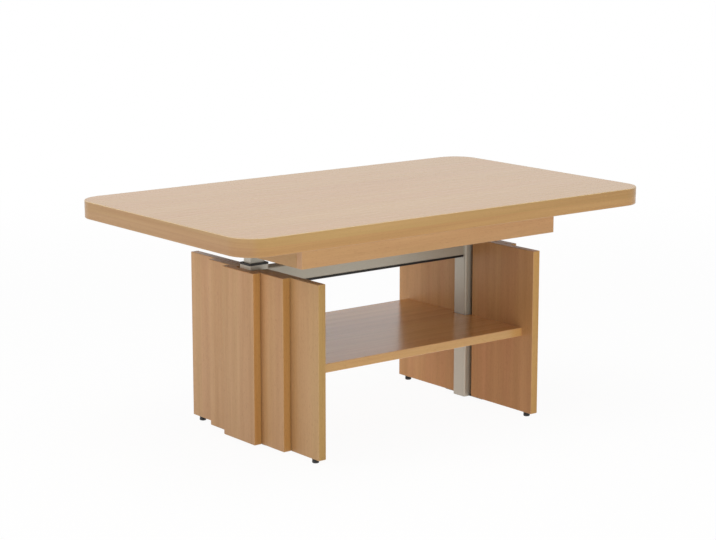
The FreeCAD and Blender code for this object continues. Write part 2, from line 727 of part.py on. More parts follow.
lever_arm = new_body("lever arm")
lever_sketch = new_sketch(lever_arm, "YZ_Plane")
LEVER_REACH = f"({INNER_WIDTH} / 2 - lever_end_gap - shaft_place)"
LEVER_BEND = f"({LEVER_REACH} - lever_flat)"
LEVER_SAG = f"lever_drop * hub_half / {LEVER_BEND}"
add_outline(lever_sketch, [
    ("-hub_half", "-hub_half"),
    ("hub_half", "-hub_half"),
    ("hub_half", f"-lever_thickness / 2 - {LEVER_SAG}"),
    (LEVER_BEND, "-lever_thickness / 2 - lever_drop"),
    (LEVER_REACH, "-lever_thickness / 2 - lever_drop"),
    (LEVER_REACH, "lever_thickness / 2 - lever_drop"),
    (LEVER_BEND, "lever_thickness / 2 - lever_drop"),
    ("hub_half", f"lever_thickness / 2 - {LEVER_SAG}"),
    ("hub_half", "hub_half"),
    ("-hub_half", "hub_half"),
])
pad(lever_arm, lever_sketch, "lever_width", symmetric=True)
put(lever_arm, "0", "shaft_place", SHAFT_LEVEL)
paddle = make_board("lever paddle", "paddle_width", "paddle_length", "lever_thickness")
round_edges(paddle, "paddle_round", runs_along(UP))
put(paddle, "0", f"shaft_place + {LEVER_REACH} - paddle_length / 2",
    f"{SHAFT_LEVEL} - lever_thickness / 2 - lever_drop")
doc.recompute()
nodes.append(cut(fuse([lever_arm, paddle]), release_shaft, "hand_lever"))

# Shelf: a board notched round the columns, held by pins in the cheek panels.
shelf_blank = new_body("shelf blank")
shelf_sketch = new_sketch(shelf_blank, "XY_Plane")
SHELF_SIDE = f"{SHELF_DEPTH} / 2"
NOTCH_SIDE = "(column_width / 2 + notch_gap)"
NOTCH_END = f"({COLUMN_INNER} - notch_gap)"
add_outline(shelf_sketch, [
    (f"-{CHEEK_INNER}", f"-{SHELF_SIDE}"),
    (CHEEK_INNER, f"-{SHELF_SIDE}"),
    (CHEEK_INNER, f"-{NOTCH_SIDE}"),
    (NOTCH_END, f"-{NOTCH_SIDE}"),
    (NOTCH_END, NOTCH_SIDE),
    (CHEEK_INNER, NOTCH_SIDE),
    (CHEEK_INNER, SHELF_SIDE),
    (f"-{CHEEK_INNER}", SHELF_SIDE),
    (f"-{CHEEK_INNER}", NOTCH_SIDE),
    (f"-{NOTCH_END}", NOTCH_SIDE),
    (f"-{NOTCH_END}", f"-{NOTCH_SIDE}"),
    (f"-{CHEEK_INNER}", f"-{NOTCH_SIDE}"),
])
pad(shelf_blank, shelf_sketch, "board")
bevel_edges(shelf_blank, "board_bevel", runs_along(RIGHT))
put(shelf_blank, "0", "0", "shelf_top - board")
shelf_pin = make_cylinder("shelf_pin_radius", "shelf_pin_depth + shelf_pin_grip", along_x=True)
put(shelf_pin, f"{CHEEK_INNER} - shelf_pin_depth", f"{SHELF_SIDE} - shelf_pin_inset", "shelf_top - board / 2")
shelf_pins = in_four_corners(shelf_pin, "shelf_pins")
nodes += [shelf_pins, cut(shelf_blank, shelf_pins, "shelf")]

# Floor glides: round feet fixed under the cheek panels' outer corners.
glide = make_cylinder("glide_radius", "glide_height")
put(glide, f"{CHEEK_INNER} + board / 2", f"{APRON_WIDTH} / 2 - glide_inset", "0")
nodes.append(in_four_corners(glide, "floor_glides"))

# Cheek boards: panel halves each side of the column, stepped second boards, one cover.
# They are glued face to face, and a slot stays open between the halves and the column.
SLOT_SIDE = "(column_width / 2 + slot_gap)"


def make_half_board(label, inner, outer_side):
    """A full-height board from the column's slot out to the given side, right and back."""
    board = make_board(label, "board", f"{outer_side} - {SLOT_SIDE}", CHEEK_HEIGHT, "board_bevel")
    return put(board, f"{inner} + board / 2", f"({outer_side} + {SLOT_SIDE}) / 2", "glide_height")


panel_blank = make_half_board("panel blank", CHEEK_INNER, f"{APRON_WIDTH} / 2")
second = make_half_board("second_board_right_back", SECOND_INNER, "second_width / 2")
cover = make_board("cover_board_right", "board", "cover_width", CHEEK_HEIGHT, "board_bevel")
put(cover, f"{COVER_INNER} + board / 2", "0", "glide_height")
doc.recompute()
panel = cut(panel_blank, shelf_pin, "cheek_panel_right_back")
for name, board in (("cheek_panel", panel), ("second_board", second)):
    front = mirror(board, BACK, f"{name}_right_front")
    nodes += [board, front]
    nodes.append(mirror(board, RIGHT, f"{name}_left_back"))
    nodes.append(mirror(front, RIGHT, f"{name}_left_front"))
nodes += [cover, mirror(cover, RIGHT, "cover_board_left")]

# Every feature and every sub-part is checked before anything is written
doc.recompute()
for item in doc.Objects:
    if "Invalid" in item.State or "Error" in item.State:
        raise ValueError(f"{item.Label} failed to build")
for node in nodes:
    if node.Shape.isNull() or not node.Shape.isValid() or not node.Shape.Solids:
        raise ValueError(f"{node.Label} has no valid solid")

os.makedirs("parts", exist_ok=True)
for node in nodes:
    node.Shape.exportStep(f"parts/{node.Label}.step")
print(len(nodes), "sub-parts written")
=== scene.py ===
import math

import bmesh
import bpy
from mathutils import Matrix, Vector


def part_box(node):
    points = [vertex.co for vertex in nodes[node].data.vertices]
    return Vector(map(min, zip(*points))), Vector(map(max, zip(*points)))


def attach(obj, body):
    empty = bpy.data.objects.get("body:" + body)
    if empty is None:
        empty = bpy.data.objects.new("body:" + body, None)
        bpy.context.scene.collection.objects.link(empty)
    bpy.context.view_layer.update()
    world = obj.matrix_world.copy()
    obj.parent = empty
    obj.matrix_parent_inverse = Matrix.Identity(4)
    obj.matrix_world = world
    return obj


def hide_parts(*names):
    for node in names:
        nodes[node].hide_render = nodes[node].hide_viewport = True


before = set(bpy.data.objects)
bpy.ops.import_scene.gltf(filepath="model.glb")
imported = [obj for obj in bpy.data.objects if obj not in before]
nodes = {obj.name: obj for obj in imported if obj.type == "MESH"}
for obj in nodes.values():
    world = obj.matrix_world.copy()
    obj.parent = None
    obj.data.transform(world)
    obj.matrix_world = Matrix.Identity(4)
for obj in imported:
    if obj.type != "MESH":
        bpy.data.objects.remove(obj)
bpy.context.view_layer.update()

# Columns, inner tubes and stretcher: rectangular steel tubes with a silver powder coat.
# The stretcher is welded between the columns, and the inner tubes slide up out of them.
# The coat is satin, with small bright flakes and a slight orange peel.
MM = 0.001
SILVER_DARK = (0.44, 0.43, 0.39)
SILVER_LIGHT = (0.585, 0.572, 0.525)
SILVER_CLOUD = (0.39, 0.375, 0.34)
# The columns' tint is painted light; the stretcher's darker, warmer tint is painted shade with a painted
# reflection of the wood above it.
COLUMN_PAINTED_LIGHT = (1.12, 1.09, 1.03)
STRETCHER_PAINTED_SHADE = (0.97, 0.94, 0.865)
SILVER_FLAKES = 2600.0
SILVER_CLOUDS = 14.0
SILVER_CLOUD_SHARE = 0.25
SILVER_ROUGHNESS = (0.36, 0.5)
SILVER_METALLIC = 0.4
SILVER_PEEL = 900.0
PEEL_DEPTH = 0.03 * MM
PEEL_STRENGTH = 0.4


def add_node(tree, kind, inputs=None, **settings):
    """A shader node with its settings and its fixed or linked inputs."""
    node = tree.nodes.new(kind)
    for name, value in settings.items():
        setattr(node, name, value)
    for name, value in (inputs or {}).items():
        socket = node.inputs[name]
        if isinstance(value, bpy.types.NodeSocket):
            tree.links.new(value, socket)
        else:
            socket.default_value = value
    return node


def math_node(tree, operation, *values, clamp=False):
    """The result of a Math node."""
    node = add_node(tree, "ShaderNodeMath", dict(enumerate(values)), operation=operation)
    node.use_clamp = clamp
    return node.outputs[0]


def blend_colour(tree, factor, first, second, mode="MIX"):
    """Two colours blended by a factor."""
    node = add_node(tree, "ShaderNodeMix", data_type="RGBA", blend_type=mode)
    for index, value in ((0, factor), (6, first), (7, second)):
        if isinstance(value, bpy.types.NodeSocket):
            tree.links.new(value, node.inputs[index])
        else:
            node.inputs[index].default_value = value
    return node.outputs[2]


def spread_range(tree, value, low, high, to_low=0.0, to_high=1.0):
    """A value moved from one range to another, clamped and smooth."""
    node = add_node(tree, "ShaderNodeMapRange", {
        "Value": value, "From Min": low, "From Max": high, "To Min": to_low, "To Max": to_high,
    }, interpolation_type="SMOOTHSTEP")
    return node.outputs["Result"]


def object_place(tree):
    """The position on the object, in metres."""
    return add_node(tree, "ShaderNodeTexCoord").outputs["Object"]


def cloudy(tree, place, scale, detail, distortion=0.0):
    """Cloudy noise over a position."""
    noise = add_node(tree, "ShaderNodeTexNoise", {
        "Vector": place, "Scale": scale, "Detail": detail, "Distortion": distortion,
    })
    return noise.outputs["Fac"]


def cell_values(tree, place, scale):
    """Three chance values that change from one small cell to the next."""
    cells = add_node(tree, "ShaderNodeTexVoronoi", {"Vector": place, "Scale": scale})
    return add_node(tree, "ShaderNodeSeparateColor", {0: cells.outputs["Color"]}).outputs


def new_material(name):
    """A node material with its Principled shader."""
    material = bpy.data.materials.new(name)
    material.use_nodes = True
    return material, material.node_tree, material.node_tree.nodes["Principled BSDF"]


def add_bump(tree, shader, height, distance, strength):
    """Feeds a height to the shader's normal."""
    bump = add_node(tree, "ShaderNodeBump", {"Height": height, "Distance": distance, "Strength": strength})
    tree.links.new(bump.outputs[0], shader.inputs["Normal"])


def tinted(colour, tint):
    """A colour with each of its parts scaled."""
    return tuple(part * share for part, share in zip(colour, tint))


def dress(material, *names):
    """Gives CAD nodes a material of their own."""
    for name in names:
        nodes[name].data.materials.clear()
        nodes[name].data.materials.append(material)


def make_silver_coat(name, tint):
    """Silver powder coat: satin grey with small bright flakes and a slight orange peel, its colours scaled by
    a tint of painted light and shade.
    """
    material, tree, shader = new_material(name)
    dark, light, dull = ((*tinted(colour, tint), 1) for colour in (SILVER_DARK, SILVER_LIGHT, SILVER_CLOUD))
    place = object_place(tree)
    flakes = cell_values(tree, place, SILVER_FLAKES)
    cloud = math_node(tree, "MULTIPLY", cloudy(tree, place, SILVER_CLOUDS, 2.0), SILVER_CLOUD_SHARE)
    coat = blend_colour(tree, flakes[0], dark, light)
    coat = blend_colour(tree, cloud, coat, dull)
    rough = spread_range(tree, flakes[1], 0.0, 1.0, *SILVER_ROUGHNESS)
    tree.links.new(coat, shader.inputs["Base Color"])
    tree.links.new(rough, shader.inputs["Roughness"])
    shader.inputs["Metallic"].default_value = SILVER_METALLIC
    add_bump(tree, shader, cloudy(tree, place, SILVER_PEEL, 1.0), PEEL_DEPTH, PEEL_STRENGTH)
    return material


column_coat = make_silver_coat("silver_coat_columns_painted_light", COLUMN_PAINTED_LIGHT)
beam_coat = make_silver_coat("silver_coat_stretcher_painted_shade", STRETCHER_PAINTED_SHADE)
dress(column_coat, "column_left", "column_right", "inner_tube_left", "inner_tube_right")
dress(beam_coat, "stretcher")

# Welds: a fillet run round each end of the stretcher, where it butts against a column.
# Each bead is laid in short overlapping ripples and coated with the tubes.
TUBE_ROUND = 4.0 * MM
WELD_RADIUS = 2.0 * MM
WELD_RIPPLE = 0.22 * MM
WELD_PITCH = 2.6 * MM
WELD_STEP = 0.65 * MM
WELD_SIDES = 8


def add_piece(name, form, material, body):
    """A new piece from its form, riding on a body, with the material it is given."""
    bmesh.ops.recalc_face_normals(form, faces=form.faces)
    mesh = bpy.data.meshes.new(name)
    form.to_mesh(mesh)
    form.free()
    mesh.materials.append(material)
    piece = bpy.data.objects.new(name, mesh)
    bpy.context.scene.collection.objects.link(piece)
    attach(piece, body)
    return piece


def rounded_outline(half_y, half_z, radius, step):
    """Points and outward directions round a rectangle with round corners."""
    outline = []
    corners = ((1, 1, half_y), (-1, 1, half_z), (-1, -1, half_y), (1, -1, half_z))
    for quarter, (side_y, side_z, run) in enumerate(corners):
        middle = Vector((side_y * (half_y - radius), side_z * (half_z - radius)))
        parts = max(2, round(math.pi / 2 * radius / step))
        for part in range(parts + 1):
            angle = (quarter + part / parts) * math.pi / 2
            out = Vector((math.cos(angle), math.sin(angle)))
            outline.append((middle + radius * out, out))
        corner, length = outline[-1][0], 2 * (run - radius)
        ahead = Vector((-out.y, out.x))
        parts = round(length / step)
        outline += [(corner + ahead * length * part / parts, out) for part in range(1, parts)]
    return outline


def join_rings(form, rings, closed=False):
    """Faces between rings of corners; a ring of one corner is a tip."""
    following = rings[1:] + rings[:1] if closed else rings[1:]
    for near, far in zip(rings, following):
        count = max(len(near), len(far))
        for place in range(count):
            after = (place + 1) % count
            corners = [near[place % len(near)], near[after % len(near)],
                       far[after % len(far)], far[place % len(far)]]
            form.faces.new(list(dict.fromkeys(corners))).smooth = True


beam_low, beam_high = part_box("stretcher")
beam_middle = (beam_high[2] + beam_low[2]) / 2
beam_half_width = (beam_high[1] - beam_low[1]) / 2
beam_half_height = (beam_high[2] - beam_low[2]) / 2
weld_line = rounded_outline(beam_half_width, beam_half_height, TUBE_ROUND, WELD_STEP)
weld_form = bmesh.new()
for end in (beam_low[0], beam_high[0]):
    rings = []
    for number, (point, out) in enumerate(weld_line):
        radius = WELD_RADIUS + WELD_RIPPLE * math.sin(math.tau * number * WELD_STEP / WELD_PITCH)
        ring = []
        for side in range(WELD_SIDES):
            angle = math.tau * side / WELD_SIDES
            rise = point + radius * math.cos(angle) * out
            ring.append(weld_form.verts.new((end + radius * math.sin(angle), rise.x, beam_middle + rise.y)))
        rings.append(ring)
    join_rings(weld_form, rings, closed=True)
add_piece("stretcher_welds", weld_form, beam_coat, "base")

# Cross arms, plugs, lugs and gas cylinders: pressed and turned steel in black satin paint.
# The lugs hold the columns to the boards, and the paint has a soft cloudy sheen.
BLACK_PAINT_DARK = (0.028, 0.028, 0.03, 1)
BLACK_PAINT_LIGHT = (0.055, 0.055, 0.058, 1)
BLACK_PAINT_CLOUDS = 60.0
BLACK_PAINT_ROUGHNESS = (0.34, 0.5)
BLACK_PAINT_PEEL = 1100.0
NOISE_SPAN = (0.3, 0.7)


def make_black_paint():
    """Black satin paint over steel, with a soft cloudy sheen."""
    material, tree, shader = new_material("black_paint")
    place = object_place(tree)
    cloud = cloudy(tree, place, BLACK_PAINT_CLOUDS, 4.0)
    tone = blend_colour(tree, cloud, BLACK_PAINT_DARK, BLACK_PAINT_LIGHT)
    rough = spread_range(tree, cloud, *NOISE_SPAN, *BLACK_PAINT_ROUGHNESS)
    tree.links.new(tone, shader.inputs["Base Color"])
    tree.links.new(rough, shader.inputs["Roughness"])
    add_bump(tree, shader, cloudy(tree, place, BLACK_PAINT_PEEL, 1.0), PEEL_DEPTH, PEEL_STRENGTH)
    return material


dress(make_black_paint(), "cross_arm_left", "cross_arm_right", "foot_lugs", "column_plugs",
      "gas_cylinder_left", "gas_cylinder_right")

# Gas rods: drawn steel, chromed and polished, inside the inner tubes.
# Faint draw lines run along them.
CHROME_DARK = (0.62, 0.62, 0.63, 1)
CHROME_LIGHT = (0.74, 0.74, 0.75, 1)
CHROME_ROUGHNESS = (0.1, 0.22)
DRAW_LINES = (1500.0, 1500.0, 3.0)


def stretched_noise(tree, place, scale, detail, roughness=0.5):
    """Noise over a position that is stretched differently along each axis."""
    spread = add_node(tree, "ShaderNodeVectorMath", {0: place, 1: scale}, operation="MULTIPLY")
    noise = add_node(tree, "ShaderNodeTexNoise", {
        "Vector": spread.outputs[0], "Scale": 1.0, "Detail": detail, "Roughness": roughness,
    })
    return noise.outputs["Fac"]


def make_chrome():
    """Bright chrome with faint lines along the draw direction."""
    material, tree, shader = new_material("chrome")
    lines = stretched_noise(tree, object_place(tree), DRAW_LINES, 2.0)
    tone = blend_colour(tree, lines, CHROME_DARK, CHROME_LIGHT)
    tree.links.new(tone, shader.inputs["Base Color"])
    tree.links.new(spread_range(tree, lines, *NOISE_SPAN, *CHROME_ROUGHNESS), shader.inputs["Roughness"])
    shader.inputs["Metallic"].default_value = 1.0
    return material


dress(make_chrome(), "gas_rod_left", "gas_rod_right")

# Plastic pieces: guide collars and slide shoes of the columns, pivot bushing and hand lever.
# They are moulded in black with a fine spark-eroded grain.
PLASTIC_DARK = (0.016, 0.016, 0.017, 1)
PLASTIC_LIGHT = (0.032, 0.032, 0.033, 1)
PLASTIC_CLOUDS = 90.0
PLASTIC_ROUGHNESS = (0.42, 0.56)
PLASTIC_PEBBLES = 1500.0
PEBBLE_DEPTH = 0.06 * MM
PEBBLE_STRENGTH = 0.5


def make_black_plastic():
    """Moulded black plastic with a fine pebbled grain."""
    material, tree, shader = new_material("black_plastic")
    place = object_place(tree)
    pebbles = add_node(tree, "ShaderNodeTexVoronoi", {"Vector": place, "Scale": PLASTIC_PEBBLES})
    cloud = cloudy(tree, place, PLASTIC_CLOUDS, 2.0)
    tone = blend_colour(tree, cloud, PLASTIC_DARK, PLASTIC_LIGHT)
    tree.links.new(tone, shader.inputs["Base Color"])
    tree.links.new(spread_range(tree, cloud, *NOISE_SPAN, *PLASTIC_ROUGHNESS), shader.inputs["Roughness"])
    add_bump(tree, shader, pebbles.outputs["Distance"], PEBBLE_DEPTH, PEBBLE_STRENGTH)
    return material


black_plastic = make_black_plastic()
dress(black_plastic, "guide_collars", "hand_lever", "pivot_bushing", "slide_shoes")

# Edge strip: a thin black strip along the stretcher's lower edge, from weld to weld, as painted shade: it
# stands in for the shade along that edge.
# It is an extruded channel with rounded lower corners that grips the tube's own corners.
STRIP_GROW = 0.6 * MM
STRIP_DROP = 3.4 * MM
STRIP_LIP = 1.6 * MM
STRIP_END_GAP = 2.6 * MM
STRIP_CORNER_PARTS = 5
strip_half = beam_high[1] + STRIP_GROW
strip_round = STRIP_DROP / 2
strip_low = beam_low[2] - STRIP_DROP
lip_top = beam_low[2] + STRIP_LIP
strip_outline = [(strip_half, lip_top)]
for side, start in ((1, 0), (-1, 90)):
    for part in range(STRIP_CORNER_PARTS + 1):
        angle = math.radians(start + 90 * part / STRIP_CORNER_PARTS)
        strip_outline.append((side * (strip_half - strip_round) + strip_round * math.cos(angle),
                              strip_low + strip_round - strip_round * math.sin(angle)))
strip_outline.append((-strip_half, lip_top))
grip = math.degrees(math.asin(1 - STRIP_LIP / TUBE_ROUND))
for side, start, end in ((-1, grip, 90), (1, 90, grip)):
    for part in range(STRIP_CORNER_PARTS + 1):
        angle = math.radians(start + (end - start) * part / STRIP_CORNER_PARTS)
        strip_outline.append((side * (beam_high[1] - TUBE_ROUND + TUBE_ROUND * math.cos(angle)),
                              beam_low[2] + TUBE_ROUND - TUBE_ROUND * math.sin(angle)))
strip_form = bmesh.new()
strip_ends = [[strip_form.verts.new((x, y, z)) for y, z in strip_outline]
              for x in (beam_low[0] + STRIP_END_GAP, beam_high[0] - STRIP_END_GAP)]
join_rings(strip_form, strip_ends)
for corners in strip_ends:
    strip_form.faces.new(corners)
add_piece("stretcher_painted_shade_strip", strip_form, black_plastic, "base")

# Cheek boards: ten upright boards in two stepped stacks, particle board with beech veneer.
# The arrises are eased and carry a painted highlight, and the grain runs from the floor to the top.
# Faces turned to the front and back take a painted tint of the light that falls on them.
# Each board's tints are its own, painted light and painted shade by where the board stands in the light; the
# far panels are redder from painted bounce light between the boards.
ALONG_X, ALONG_Y, ALONG_Z, ROUND_EDGE = "x", "y", "z", "edge"
BROAD_STRETCH = (1.1, 8.0, 8.0)
STREAK_STRETCH = (1.6, 46.0, 46.0)
BAND_STRETCH = (1.3, 19.0, 19.0)
FIBRE_STRETCH = (9.0, 420.0, 420.0)
FLECK_STRETCH = (120.0, 1300.0, 1300.0)
BROAD_SHARE, STREAK_SHARE, FIBRE_SHARE = 1.1, 1.3, 0.55
GRAIN_DRIFT = 0.02
MIDDLE_TONE = 0.55
FLECK_SPAN = (0.6, 0.72)
BAND_SPAN = (0.4, 0.6)
ROSY_TINT = (1.0, 0.94, 0.985, 1)
FIBRE_ROUGHNESS = 0.12
FLECK_HEIGHT = -0.5
EDGE_FINENESS = 2.5


def new_group(name, inputs, outputs):
    """An empty shader node group with its sockets and its two end nodes."""
    tree = bpy.data.node_groups.new(name, "ShaderNodeTree")
    for socket_name, kind, default in inputs:
        socket = tree.interface.new_socket(socket_name, in_out="INPUT", socket_type=kind)
        socket.default_value = default
    for socket_name, kind in outputs:
        tree.interface.new_socket(socket_name, in_out="OUTPUT", socket_type=kind)
    return tree, tree.nodes.new("NodeGroupInput"), tree.nodes.new("NodeGroupOutput")


def finish_group(tree, end, results):
    """Links a group's results to its output node."""
    for name, socket in results.items():
        tree.links.new(socket, end.inputs[name])
    return tree


def make_beech_grain():
    """Beech veneer: broad tone, straight streaks, rosy bands, fine fibres and short dark ray flecks."""
    tree, start, end = new_group(
        "BeechGrain",
        [("Along", "NodeSocketVector", (0, 0, 0)),
         ("Light", "NodeSocketColor", (0.55, 0.36, 0.18, 1)),
         ("Dark", "NodeSocketColor", (0.38, 0.21, 0.09, 1)),
         ("Contrast", "NodeSocketFloat", 1.0),
         ("Flecks", "NodeSocketFloat", 0.32),
         ("Blush", "NodeSocketFloat", 0.7),
         ("Gloss", "NodeSocketFloat", 0.3)],
        [("Color", "NodeSocketColor"), ("Roughness", "NodeSocketFloat"), ("Height", "NodeSocketFloat")])
    place, light, dark, contrast, flecks, blush, gloss = start.outputs[:7]
    broad = stretched_noise(tree, place, BROAD_STRETCH, 2.0)
    drift = add_node(tree, "ShaderNodeCombineXYZ", {"Y": math_node(tree, "MULTIPLY", broad, GRAIN_DRIFT)})
    bent = add_node(tree, "ShaderNodeVectorMath", {0: place, 1: drift.outputs[0]}, operation="ADD").outputs[0]
    streaks = stretched_noise(tree, bent, STREAK_STRETCH, 3.0, 0.6)
    fibres = stretched_noise(tree, bent, FIBRE_STRETCH, 2.0)
    specks = spread_range(tree, stretched_noise(tree, bent, FLECK_STRETCH, 1.0), *FLECK_SPAN)
    bands = spread_range(tree, stretched_noise(tree, bent, BAND_STRETCH, 2.0), *BAND_SPAN)
    tone = 0.0
    for noise, share in ((broad, BROAD_SHARE), (streaks, STREAK_SHARE), (fibres, FIBRE_SHARE)):
        swing = math_node(tree, "SUBTRACT", noise, 0.5)
        tone = math_node(tree, "MULTIPLY_ADD", swing, share, tone)
    tone = math_node(tree, "MULTIPLY_ADD", tone, contrast, MIDDLE_TONE, clamp=True)
    wood = blend_colour(tree, tone, dark, light)
    rosy = blend_colour(tree, 1.0, wood, ROSY_TINT, "MULTIPLY")
    wood = blend_colour(tree, math_node(tree, "MULTIPLY", bands, blush), wood, rosy)
    wood = blend_colour(tree, math_node(tree, "MULTIPLY", specks, flecks), wood, dark, "MULTIPLY")
    rough = math_node(tree, "MULTIPLY_ADD", fibres, FIBRE_ROUGHNESS, gloss)
    height = math_node(tree, "MULTIPLY_ADD", specks, FLECK_HEIGHT, fibres)
    return finish_group(tree, end, {"Color": wood, "Roughness": rough, "Height": height})


ARRIS_SLANT_SPAN = (0.75, 0.9)
ARRIS_REACH_SPAN = (0.2, 0.4)


def make_painted_arris_highlight():
    """Painted highlight on a board's bevelled arrises, told by a slanting surface."""
    tree, start, end = new_group(
        "PaintedArrisHighlight",
        [("Color", "NodeSocketColor", (0.5, 0.3, 0.15, 1)),
         ("Highlight", "NodeSocketColor", (0.8, 0.6, 0.35, 1)),
         ("Amount", "NodeSocketFloat", 0.5),
         ("Slant", "NodeSocketVector", (1, 1, 1))],
        [("Color", "NodeSocketColor")])
    colour, arris_highlight, amount, slant = start.outputs[:4]
    normal = add_node(tree, "ShaderNodeTexCoord").outputs["Normal"]
    kept = add_node(tree, "ShaderNodeVectorMath", {0: normal, 1: slant}, operation="MULTIPLY")
    size = add_node(tree, "ShaderNodeVectorMath", {0: kept.outputs[0]}, operation="ABSOLUTE")
    x, y, z = add_node(tree, "ShaderNodeSeparateXYZ", {0: size.outputs[0]}).outputs
    largest = math_node(tree, "MAXIMUM", math_node(tree, "MAXIMUM", x, y), z)
    slanted = spread_range(tree, largest, *ARRIS_SLANT_SPAN, 1.0, 0.0)
    arris_reach = spread_range(tree, largest, *ARRIS_REACH_SPAN)
    mask = math_node(tree, "MULTIPLY", math_node(tree, "MULTIPLY", slanted, arris_reach), amount)
    return finish_group(tree, end, {"Color": blend_colour(tree, mask, colour, arris_highlight)})


# Painted side light on faces turned to the front and back.
SIDE_LIGHT_SPAN = (0.75, 0.95)


def make_painted_side_light():
    """Painted side light: faces turned to the front and back take a tint that stands in for the light that
    falls on them.
    """
    tree, start, end = new_group(
        "PaintedSideLight",
        [("Color", "NodeSocketColor", (0.5, 0.3, 0.15, 1)),
         ("Tint", "NodeSocketColor", (1, 1, 1, 1))],
        [("Color", "NodeSocketColor")])
    colour, tint = start.outputs[:2]
    normal = add_node(tree, "ShaderNodeTexCoord").outputs["Normal"]
    facing = add_node(tree, "ShaderNodeSeparateXYZ", {0: normal}).outputs[1]
    mask = spread_range(tree, math_node(tree, "ABSOLUTE", facing), *SIDE_LIGHT_SPAN)
    side_lit = blend_colour(tree, 1.0, colour, tint, "MULTIPLY")
    return finish_group(tree, end, {"Color": blend_colour(tree, mask, colour, side_lit)})


beech_grain = make_beech_grain()
painted_arris_highlight = make_painted_arris_highlight()
painted_side_light = make_painted_side_light()
# Colour of the painted arris highlight.
ARRIS_HIGHLIGHT_COLOUR = (0.78, 0.58, 0.32, 1)
GRAIN_DEPTH = 0.05 * MM
AS_IT_IS = (1, 1, 1)


def grain_place(tree, direction, offset):
    """The object's position, turned so that its first part runs along the grain or round the edge."""
    x, y, z = add_node(tree, "ShaderNodeSeparateXYZ", {0: object_place(tree)}).outputs
    if direction == ROUND_EDGE:
        order = (math_node(tree, "SUBTRACT", x, y), math_node(tree, "MULTIPLY", z, EDGE_FINENESS))
    else:
        order = {ALONG_X: (x, y, z), ALONG_Y: (y, z, x), ALONG_Z: (z, x, y)}[direction]
    turned = add_node(tree, "ShaderNodeCombineXYZ", dict(zip("XYZ", order)))
    moved = add_node(tree, "ShaderNodeVectorMath", {0: turned.outputs[0], 1: offset}, operation="ADD")
    return moved.outputs[0]


def make_beech(name, direction, offset, light, dark, contrast=1.0, flecks=0.32, gloss=0.3, arris_highlight=0.45,
               shine=0.3, relief=0.5, side_light_tint=AS_IT_IS):
    """Satin-lacquered beech veneer with its grain in one direction, a painted tint of side light on faces
    turned front and back, and painted highlights on its arrises.
    """
    material, tree, shader = new_material(name)
    grain = add_node(tree, "ShaderNodeGroup", node_tree=beech_grain)
    tree.links.new(grain_place(tree, direction, offset), grain.inputs["Along"])
    grain.inputs["Light"].default_value = (*light, 1)
    grain.inputs["Dark"].default_value = (*dark, 1)
    grain.inputs["Contrast"].default_value = contrast
    grain.inputs["Flecks"].default_value = flecks
    grain.inputs["Gloss"].default_value = gloss
    edge = add_node(tree, "ShaderNodeGroup", node_tree=painted_side_light)
    tree.links.new(grain.outputs["Color"], edge.inputs["Color"])
    edge.inputs["Tint"].default_value = (*side_light_tint, 1)
    arris = add_node(tree, "ShaderNodeGroup", node_tree=painted_arris_highlight, name="arris")
    tree.links.new(edge.outputs["Color"], arris.inputs["Color"])
    arris.inputs["Highlight"].default_value = ARRIS_HIGHLIGHT_COLOUR
    arris.inputs["Amount"].default_value = arris_highlight
    tree.links.new(arris.outputs["Color"], shader.inputs["Base Color"])
    tree.links.new(grain.outputs["Roughness"], shader.inputs["Roughness"])
    add_bump(tree, shader, grain.outputs["Height"], GRAIN_DEPTH, relief)
    shader.inputs["Specular IOR Level"].default_value = shine
    return material


CHEEK_LIGHT = (0.555, 0.343, 0.172)
CHEEK_DARK = (0.415, 0.232, 0.096)
CHEEK_SIDE_LIGHT = (0.96, 0.92, 0.675)
CHEEK_ARRIS_HIGHLIGHT = 0.15
CHEEK_SHIFT = Vector((0.37, 0.23, 0.11))
# Per-board tints: painted light and painted shade, with each board's painted side light on its faces turned
# front and back.
BOARD_PAINTED_LIGHT = {
    "cheek_panel_left_front": ((0.95, 0.965, 0.885), (0.912, 0.91, 0.685)),
    "cheek_panel_left_back": ((1.055, 1.07, 1.08), CHEEK_SIDE_LIGHT),
    "cheek_panel_right_front": ((1.13, 1.015, 0.88), (0.97, 1.05, 0.83)),
    "cheek_panel_right_back": ((1.165, 1.08, 0.97), (1.0, 1.03, 0.79)),
    "second_board_left_front": ((0.95, 0.92, 0.875), (1.02, 0.95, 0.68)),
    "second_board_left_back": ((1.06, 1.1, 1.1), CHEEK_SIDE_LIGHT),
    "second_board_right_front": (AS_IT_IS, CHEEK_SIDE_LIGHT),
    "second_board_right_back": (AS_IT_IS, CHEEK_SIDE_LIGHT),
    "cover_board_left": ((1.01, 1.04, 1.06), (1.06, 0.95, 0.66)),
    "cover_board_right": (AS_IT_IS, CHEEK_SIDE_LIGHT),
}
for number, (name, (tint, side_light_tint)) in enumerate(BOARD_PAINTED_LIGHT.items()):
    offset = number * CHEEK_SHIFT
    light, dark = tinted(CHEEK_LIGHT, tint), tinted(CHEEK_DARK, tint)
    veneer = make_beech(f"beech_{name}", ALONG_Z, offset, light, dark, arris_highlight=CHEEK_ARRIS_HIGHLIGHT, side_light_tint=side_light_tint)
    dress(veneer, name)

# Shelf: one veneered board between the cheeks, notched round the columns, on hidden pins.
# Its grain runs from cheek to cheek, and its lacquer is glossier than that of the cheeks.
SHELF_LIGHT = (0.75, 0.414, 0.162)
SHELF_DARK = (0.57, 0.278, 0.091)
SHELF_SIDE_LIGHT = (0.87, 0.995, 0.98)
SHELF_SHIFT = (0.7, 0.4, 0.2)
shelf_veneer = make_beech("beech_shelf", ALONG_X, SHELF_SHIFT, SHELF_LIGHT, SHELF_DARK, gloss=0.16, arris_highlight=0.3,
                          shine=0.5, side_light_tint=SHELF_SIDE_LIGHT)
dress(shelf_veneer, "shelf")

